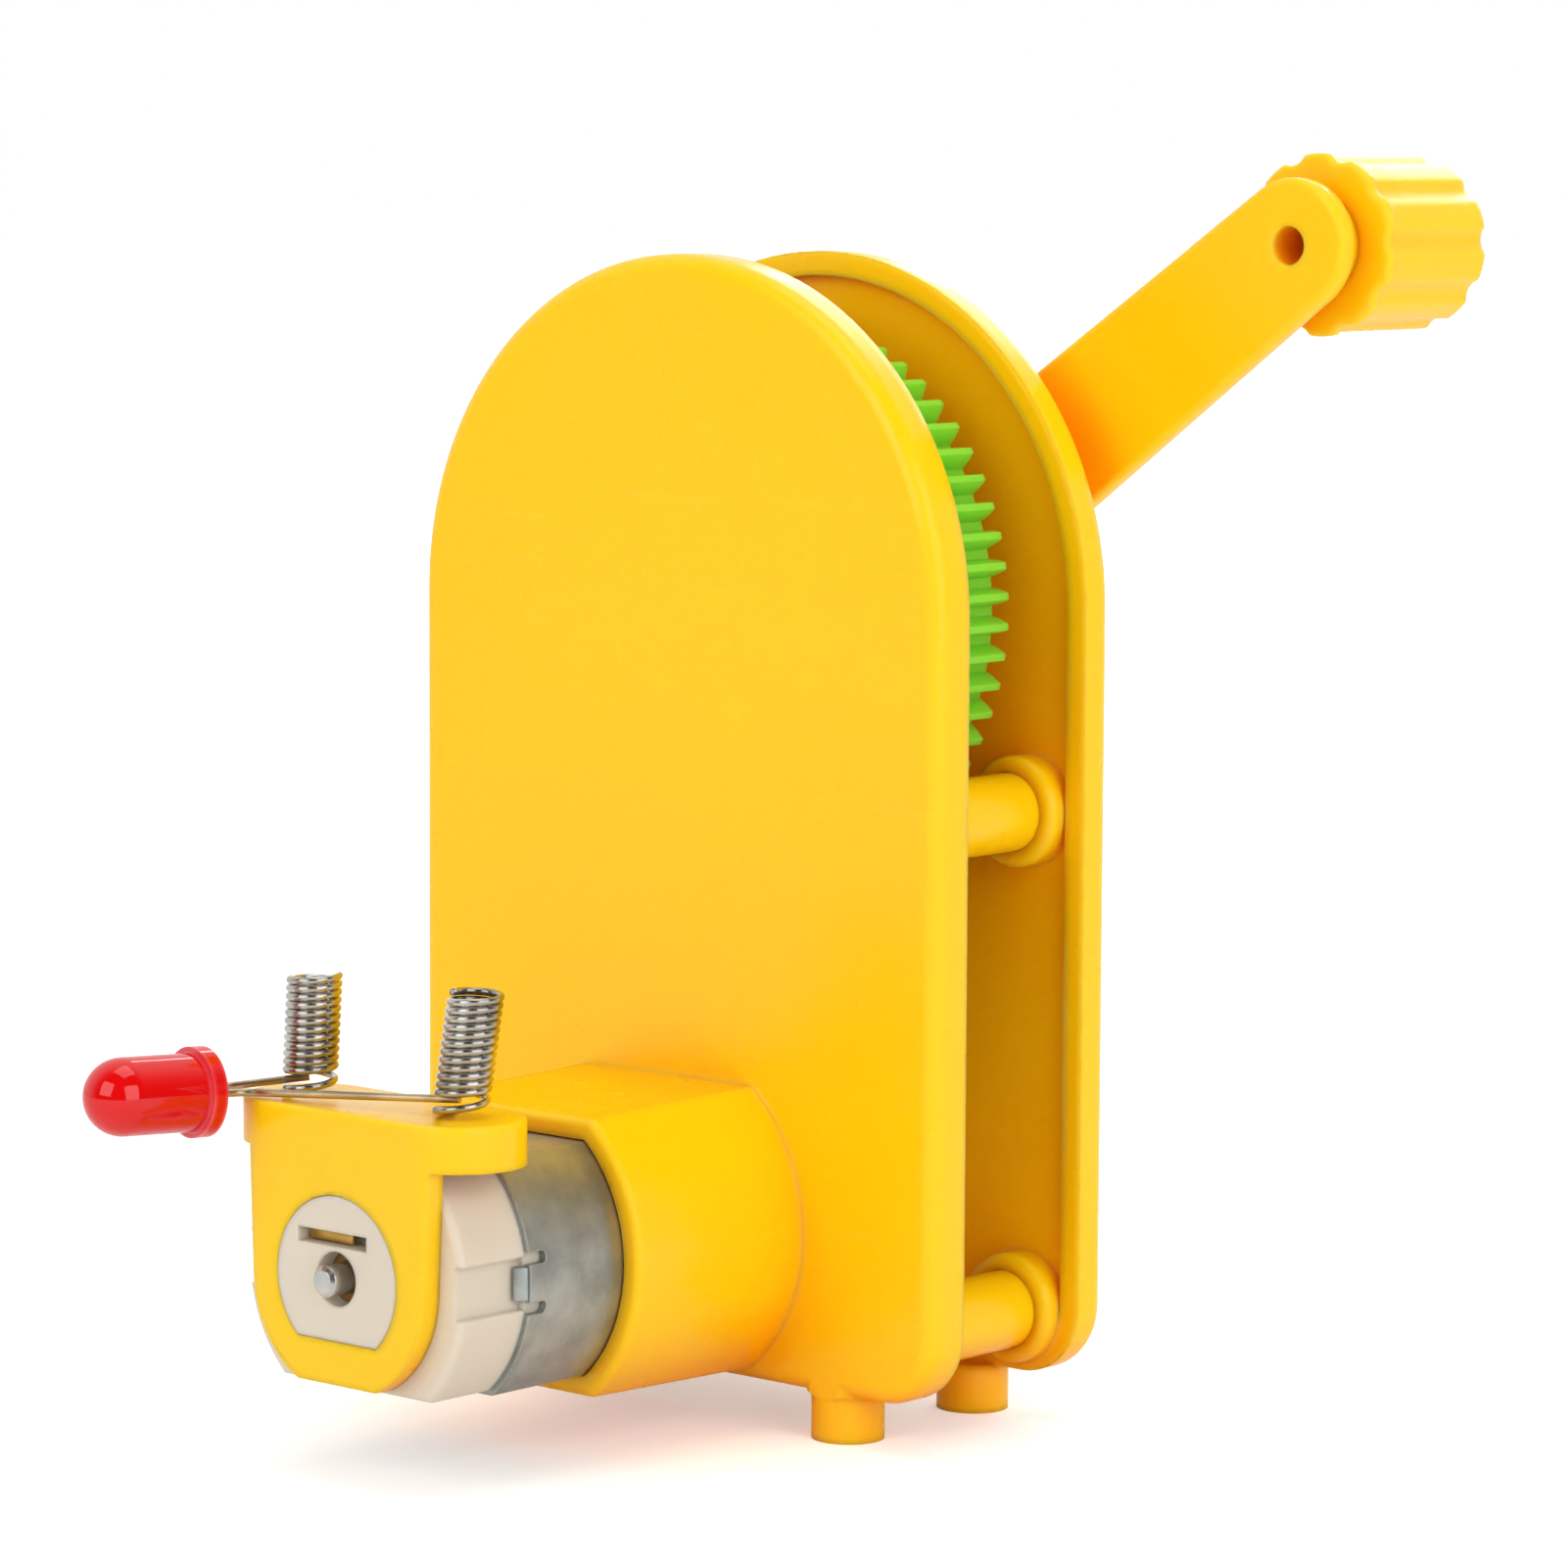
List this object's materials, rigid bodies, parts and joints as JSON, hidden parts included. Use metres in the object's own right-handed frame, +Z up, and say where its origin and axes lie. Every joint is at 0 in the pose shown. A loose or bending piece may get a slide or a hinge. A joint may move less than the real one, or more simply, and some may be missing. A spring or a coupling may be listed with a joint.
{
  "type": "hand crank generator",
  "caption": "Hand crank generator demonstrator: arch-shaped plates hold a gear train that drives a small motor wired to an LED through two spring terminals.",
  "frame": {"origin": "on the surface the four peg feet stand on, midway between the four feet", "axes": "+Z up; +Y from the motor towards the crank, along the crank axis; +X to the right seen from the motor side"},
  "size_m": [0.0626, 0.077, 0.0835],
  "materials": {
    "yellow_plastic": "smooth moulded, softly glossy",
    "green_plastic": "smooth moulded, softly glossy",
    "white_plastic": "satin nylon",
    "ivory_plastic": "satin moulded",
    "brown_plastic": "matte phenolic",
    "plated_steel": "satin zinc plate",
    "bright_steel": "ground steel",
    "core_steel": "stacked sheet steel",
    "nickel_wire": "bright nickel plate",
    "tinned_wire": "tin plate, slightly dull",
    "brass_sheet": "bright rolled sheet",
    "copper": "bright copper",
    "sintered_bronze": "dull oil-soaked bronze",
    "enamelled_copper": "glossy enamelled wire",
    "ferrite": "dull ceramic magnet",
    "red_lens": "clear dyed epoxy, glossy"
  },
  "bodies": {
    "case": {"front_shell": "yellow_plastic", "back_shell": "yellow_plastic", "case_screws": "bright_steel", "idler_axle": "bright_steel", "motor_can": "plated_steel", "motor_magnets": "ferrite", "motor_end_bell": "ivory_plastic", "motor_bearings": "sintered_bronze", "brushes": "copper", "terminal_tabs": "brass_sheet", "terminal_bracket": "yellow_plastic", "spring_terminal_left": "nickel_wire", "spring_terminal_right": "nickel_wire", "led_lens": "red_lens", "led_leads": "tinned_wire"},
    "crank": {"crank_gear": "green_plastic", "crank_arm": "yellow_plastic", "hub_screw": "bright_steel", "knob_screw": "bright_steel"},
    "knob": {"crank_knob": "yellow_plastic"},
    "idler": {"idler_gear": "green_plastic"},
    "rotor": {"motor_shaft": "bright_steel", "motor_pinion": "white_plastic", "armature_core": "core_steel", "armature_windings": "enamelled_copper", "commutator": "copper", "commutator_sleeve": "brown_plastic"}
  },
  "joints": [
    {"name": "crank_turn", "type": "hinge", "parent": "case", "child": "crank", "pos_m": [0, 0, 0.05375], "axis": [0, 1, 0], "continuous": true},
    {"name": "knob_spin", "type": "hinge", "parent": "crank", "child": "knob", "pos_m": [0.03371, 0, 0.07762], "axis": [0, 1, 0], "continuous": true},
    {"name": "idler_spin", "type": "hinge", "parent": "case", "child": "idler", "pos_m": [0, 0, 0.03188], "axis": [0, 1, 0], "continuous": true},
    {"name": "rotor_spin", "type": "hinge", "parent": "case", "child": "rotor", "pos_m": [0, 0, 0.01337], "axis": [0, 1, 0], "continuous": true}
  ],
  "couplings": [
    {"joint": "idler_spin", "follows": "crank_turn", "ratio": -4.8333},
    {"joint": "rotor_spin", "follows": "crank_turn", "ratio": 24.972}
  ]
}
